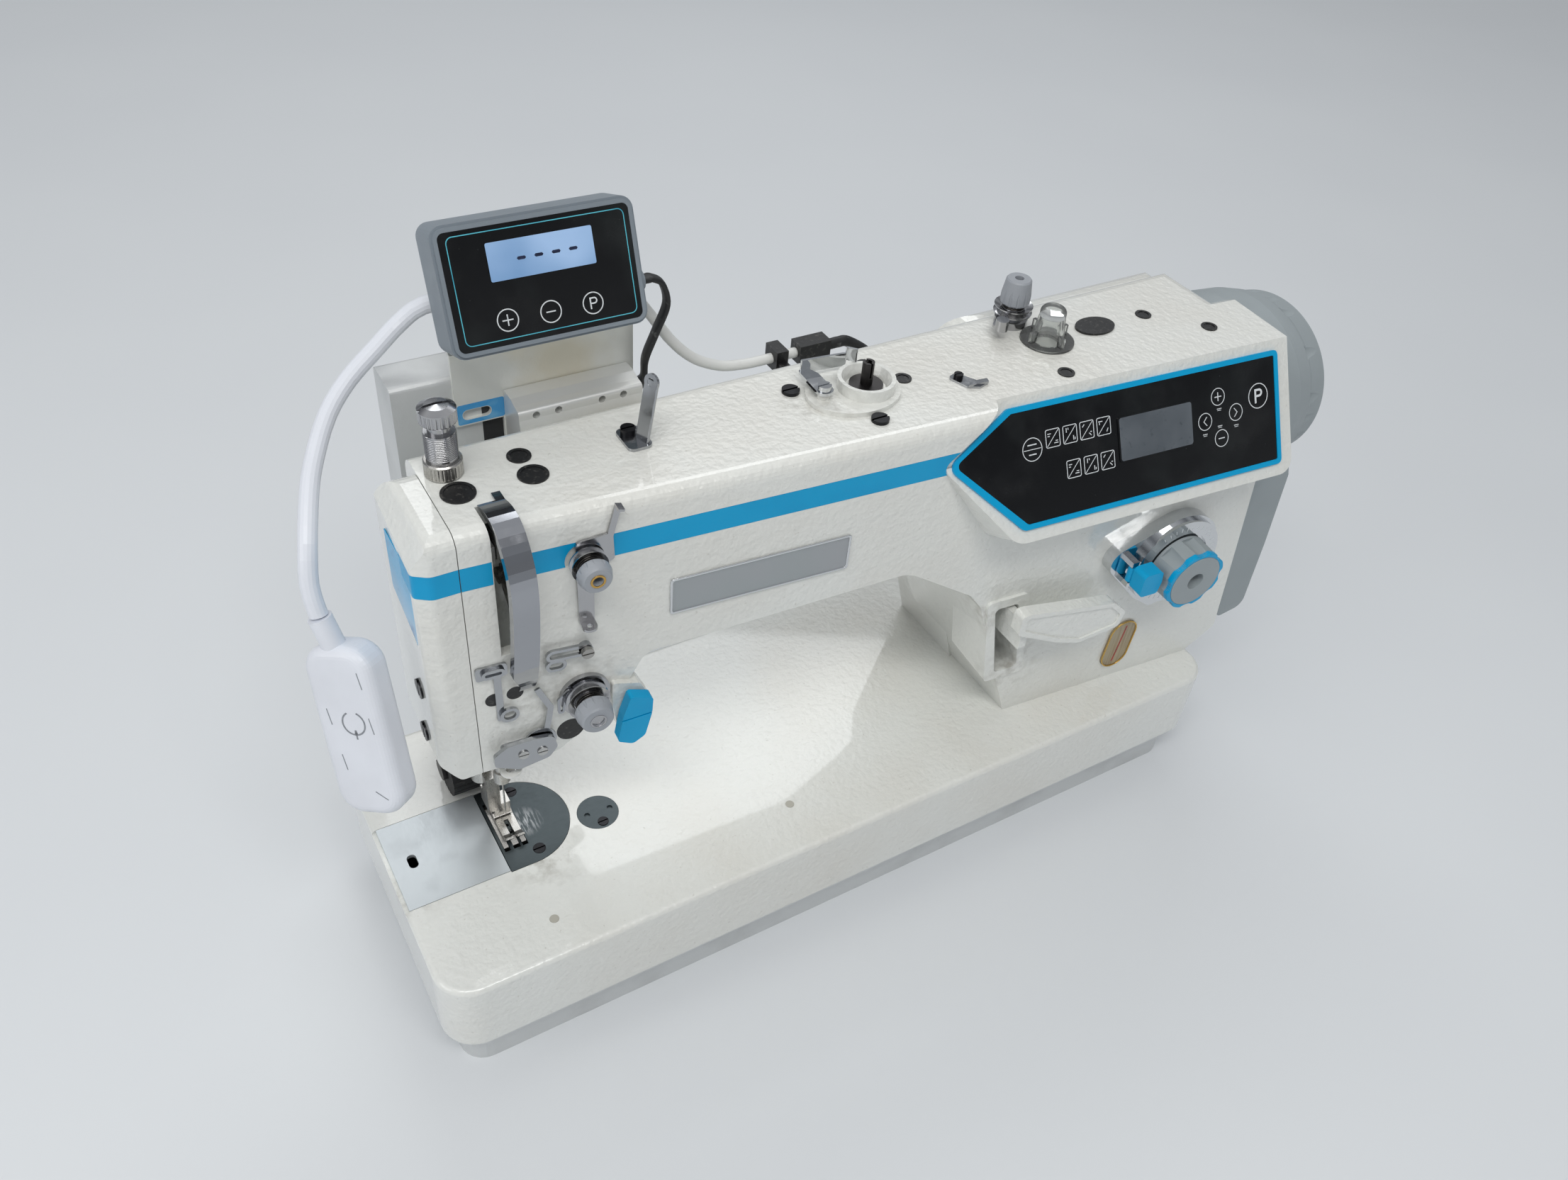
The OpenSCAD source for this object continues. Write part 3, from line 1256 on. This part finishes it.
module end_cover() {
  x0 = bed_right - 3;
  color("darkgray") above_bed() difference() {
    intersection() {
      along_y(-140, pillar_rear_y - 2) polygon(outline([[468.4, 22, 3], [488, 27, 8], [485, 82, 30],
        [480, 136, 6], [474, 150, 4], [451.6, 150, 0], [455.2, 117, 20]]));
      flared(-60, 540) polygon(outline([[1, -5, 0], [200, -5, 0], [200, 160, 0], [1, 160, 0]]));
    }
    // room of the handwheel
    at_shaft() bar_x(430, 600, wheel_r + 2.5);
    // hollow towards the pillar
    translate([463, -56, 34]) cube([16, 98, 90]);
  }
}

switch_place = [50, 122];
switch_stem = [7, -20];
switch_stem_r = 3;

module switch_button() {
  color("deepskyblue") above_bed() on_front(switch_place, 4.4) difference() {
    union() {
      translate([switch_stem.x, switch_stem.y, -6]) cylinder(r = switch_stem_r, h = 7);
      linear_extrude(6) polygon(outline([[4.6, -3.5, 1.5], [16.1, -8, 2], [15.6, -18, 5], [12, -33, 4],
        [5.6, -37, 3], [-2.3, -32.5, 2], [0.5, -16, 3]]));
    }
    translate([-4, -19.4, 5.2]) rotate([0, 0, 3]) cube([24, 0.8, 2]);
  }
}

module hand_lifter() {
  color("silver") above_bed() {
    translate([30, rear_y - 11.9, 118]) rotate([-90, 0, 0]) cylinder(r = 4 - run_gap, h = 16);
    translate([0, rear_y + 1, 0]) along_y(0, 6) polygon(outline([[24, 124, 5], [36, 124, 5], [38, 112, 4],
      [62, 92, 4], [58, 84, 3], [26, 108, 6]]));
  }
}

module display_box() {
  color("darkgray") above_bed() difference() {
    union() {
      on_display(-display_t) linear_extrude(display_t - 1.5)
        polygon(box_outline(0, display_w, 0, display_h, 6));
      on_display(-3) linear_extrude(3)
        polygon(box_outline(1.2, display_w - 1.2, 1.2, display_h - 1.2, 5));
      // glands of the lead
      on_display(-8) translate([display_w - 1, 18, 0]) rotate([0, 90, 0]) cylinder(r = 4.5, h = 3);
    }
    on_display(-0.8) linear_extrude(3) polygon(box_outline(3, display_w - 3, 3, display_h - 3, 3));
  }
}

module display_glass() {
  color("black") above_bed() {
    on_display(-0.8) linear_extrude(0.7)
      polygon(box_outline(3.15, display_w - 3.15, 3.15, display_h - 3.15, 2.9));
    on_display(-0.12) linear_extrude(0.3)
      polygon(box_outline(22.3, 71.5, display_h - 26.7, display_h - 9.8, 1));
  }
}

// Folded sheet: upright behind the arm, then leaning with the display
module bracket_plate() {
  fold_z = 259.5;
  l = display_h - 6;
  color("lightgray") above_bed() difference() {
    union() {
      translate([14, bracket_y, 196]) cube([90, bracket_t, fold_z - 0.3 - 196]);
      translate([14, bracket_y, fold_z - 0.4]) rotate([-display_lean, 0, 0]) translate([0, 1.55, 0])
        cube([90, bracket_t, l]);
    }
    translate([13, bracket_y - 1, 190]) cube([24, 4, 31]);
    translate([0, bracket_y - 1, 0]) along_y(0, 4) polygon(box_outline(17.5, 31, 224, 229, 2.4));
    for (x = [46, 90]) translate([x, bracket_y - 1, 216]) rotate([-90, 0, 0]) cylinder(r = 2.2, h = 5);
  }
}

module mount_block() {
  color("silver") above_bed() difference() {
    along_x(37.5, 100) polygon(outline([[block_y0, 182, 0], [bracket_y, 182, 0], [bracket_y, 236, 1],
      [50, 236, 1], [45, 234.5, 3], [40, 234, 2], [40, 229.5, 0], [block_y0, 220, 0]]));
    for (x = [46, 57, 79, 90]) translate([x, 38, 231]) rotate([-90, 0, 0]) cylinder(r = 1.8, h = 6);
    for (x = [46, 90]) translate([x, 50, 216]) rotate([-90, 0, 0]) cylinder(r = 2.2, h = 12);
  }
}

housing_x0 = -14;
housing_x1 = 27;

module puller_housing() {
  color("silver") above_bed() difference() {
    union() {
      along_x(housing_x0, housing_x1) polygon(outline([[housing_y, 150, 3], [housing_y + 24, 150, 3],
        [housing_y + 24, 247, 3], [housing_y, 247, 3]]));
      translate([housing_x0 + 4, housing_y + 2, 142]) cube([16, 16, 10]);
    }
    translate([puller_axis[0] + 3, housing_y + 10, 100]) cylinder(r = 5 + run_gap, h = 120);
    translate([housing_x1 - 14, housing_y + 12, 215]) bar_x(0, 20, 4 + run_gap);
  }
}

module puller_motor() {
  color("black") above_bed() {
    translate([housing_x1, housing_y, 194]) cube([46, 42, 42]);
    translate([housing_x1 - 13, housing_y + 12, 215]) bar_x(0, 14, 4);
    // fins round the body's ends
    for (x = [housing_x1 + 44, housing_x1 + 49]) translate([x, housing_y + 2, 196]) cube([3, 38, 38]);
    translate([housing_x1 + 44, housing_y + 6, 200]) cube([9, 30, 30]);
  }
}

// Guided rod with the arm that reaches forward to the roller
module puller_slide() {
  color("dimgray") above_bed() {
    translate([puller_axis[0] + 3, housing_y + 10, 10]) cylinder(r = 5, h = 185);
    difference() {
      union() {
        translate([puller_axis[0] + 3, housing_y + 10, 10]) cylinder(r = 9, h = 22);
        // arm along the roller's right side
        along_x(6, 12) polygon(outline([[puller_axis[1] - 6, roller_z - 6, 6],
          [puller_axis[1] - 6, roller_z + 8, 6], [54, 44, 8], [housing_y + 18, 44, 6],
          [housing_y + 18, 10, 6], [housing_y, 10, 6]]));
        translate([puller_axis[0] + 3, housing_y + 4, 12]) cube([14, 12, 20]);
      }
      translate([puller_axis[0] + 3, housing_y + 10, 5]) cylinder(r = 5 - eps, h = 60);
    }
    // axle with its head
    translate([0, puller_axis[1], roller_z]) {
      bar_x(roller_x0 - 2, 12, 4);
      bar_x(roller_x0 - 2.5, roller_x0 - 0.4, 6);
    }
  }
}

module puller_roller() {
  color("dimgray") above_bed() translate([0, puller_axis[1], roller_z]) difference() {
    translate([roller_x0, 0, 0]) rotate([0, 90, 0]) difference() {
      cylinder(r = roller_d / 2, h = roller_w);
      for (a = [0:15:359]) rotate([0, 0, a]) translate([roller_d / 2 + 0.4, 0, -1])
        cylinder(r = 1, h = roller_w + 2, $fn = 8);
    }
    bar_x(-60, 60, 4 + run_gap);
  }
}

lamp_seat = [70, 77, 275];

module lamp_base() {
  color("white") above_bed() translate(lamp_seat) rotate([-90 - display_lean, 0, 0]) {
    translate([0, 0, -7.9]) cylinder(r = 20, h = 16.3);
    translate([0, 0, 8.4 - eps]) cylinder(r1 = 20, r2 = 17, h = 3);
  }
  // sockets of the gooseneck and of the lead
  color("white") above_bed() {
    strut([60, 77, 275], [47, 79, 275.2], neck_d / 2 + 1.5);
    strut([84, 77, 275], [93, 77, 275], lamp_cable_d / 2 + 1.5);
  }
}

neck_path = curve([[46.8, 79, 275.2], [40.3, 80, 275.3], [34, 81, 275.4], [12, 84, 272],
  [0.5, 84, 265.8], [-13, 78, 259], [-29, 70, 251], [-42, 60, 242.4], [-53, 45, 233], [-60, 32, 225.5],
  [-67.5, 15, 212], [-71.4, 7, 197], [-71, 2, 184]], 3);

module lamp_neck() {
  color("white") above_bed() tube(neck_path, neck_d / 2, neck_d / 2, 16, [0, 0, 1]);
}

// Frame of the lamp head: x across, y along the head away from the neck, z to its top
module on_lamp() {
  translate([-65.5, -3.1, 170.6]) rotate([-74, 15.3, 135.4]) children();
}

module lamp_head() {
  color("white") above_bed() {
    on_lamp() {
      hull() for (x = [-1, 1], y = [12, lamp_l - 12]) translate([x * (lamp_w / 2 - 12), y, 0])
        rotate_extrude($fn = 32) difference() {
          union() {
            translate([0, -lamp_t / 2]) square([7, lamp_t]);
            translate([0, 5 - lamp_t / 2]) square([12, lamp_t - 10]);
            for (z = [5 - lamp_t / 2, lamp_t / 2 - 5]) translate([7, z]) circle(5, $fn = 24);
          }
          translate([-20, -20]) square([20, 40]);
        }
      // strip of light-emitting diodes
      translate([-4, 16, -lamp_t / 2 - 1.2]) cube([8, lamp_l - 32, 2]);
    }
    strut([-70.9, 1.7, 183], [-67.8, -4, 167], neck_d / 2 + 1.2);
  }
}

// Routes of the leads, from end to end
lamp_cable_route = [[93.1, 77, 275], [96, 77, 275], [99, 76.8, 274.6], [107, 73, 268],
  [116, 66, 255], [126, 61, 240], [138, 60, 228], [153, 60, 220], [166, 60, 217.5], [176, 60, 217],
  [184, 60, 217], [192, 60, 217], [199, 60, 217]];
puller_cable_route = [[106, 53.7, 281.2], [108.5, 53.7, 281.2], [111, 53.7, 281], [116, 53, 277.5],
  [118, 52, 267], [112, 51, 254], [107, 52, 240], [108.5, 57, 225], [108, 68, 216], [100, 78, 214],
  [92, 82, 215], [86, 82, 215], [80.1, 82, 215]];
supply_route = [[218.1, 60, 217], [222, 60, 217], [226, 60, 217], [232, 60, 216], [246, 60.5, 206],
  [264, 61, 188], [286, 62, 165], [308, 62, 146], [321, 61, 138], [324, 61, 131], [324, 61, 126],
  [324, 61, 120.1]];

module lamp_cable() {
  r = lamp_cable_d / 2;
  color("white") above_bed() tube(curve(lamp_cable_route, 3), r, r, 10, [0, 0, 1]);
}

module puller_cable() {
  color("black") above_bed() tube(curve(puller_cable_route, 3), 1.5, 3.5, 10, [0, 1, 0]);
}

module supply_lead() {
  color("black") above_bed() tube(curve(supply_route, 3), 3, 3, 10, [0, 0, 1]);
}

module cable_strap() {
  color("dimgray") above_bed() {
    // strap round the lead, on its foot behind the arm
    translate([184, 54, 211]) difference() {
      cube([7, 12, 12]);
      translate([-1, 6, 6]) bar_x(0, 12, lamp_cable_d / 2 + 0.1);
    }
    translate([185, rear_y, 213]) cube([5, 16.1, 4]);
    // coupling of the two leads
    translate([199, 55, 211.5]) cube([19, 10, 11]);
    // gland on the pillar's rear
    translate([318, pillar_rear_y, 100]) cube([12, 13, 20]);
  }
}

bed();
bottom_cover();
arm_casting();
trim_stripe();
face_plate();
slotted_screws();
throat_plate();
bed_disc();
rubber_plugs();
oil_sight_dome();
oil_gauge_window();
take_up_guard();
bobbin_case();
timing_belt();
end_cover();
panel_bezel();
panel_glass();
thread_guides();
tension_discs();
winder_plate();
dial_escutcheon();
display_box();
display_glass();
bracket_plate();
mount_block();
puller_housing();
puller_motor();
lamp_base();
lamp_neck();
lamp_head();
lamp_cable();
puller_cable();
supply_lead();
cable_strap();
handwheel();
main_shaft();
hook_shaft();
rotary_hook();
bobbin();
needle_bar();
take_up_lever();
presser_bar();
presser_foot();
feed_dog();
slide_plate();
presser_screw();
lock_nut();
front_tension_knob();
main_tension_knob();
top_tension_knob();
check_spring();
winder_spindle();
winder_lever();
stitch_dial();
dial_lock();
reverse_lever();
switch_button();
hand_lifter();
puller_slide();
puller_roller();
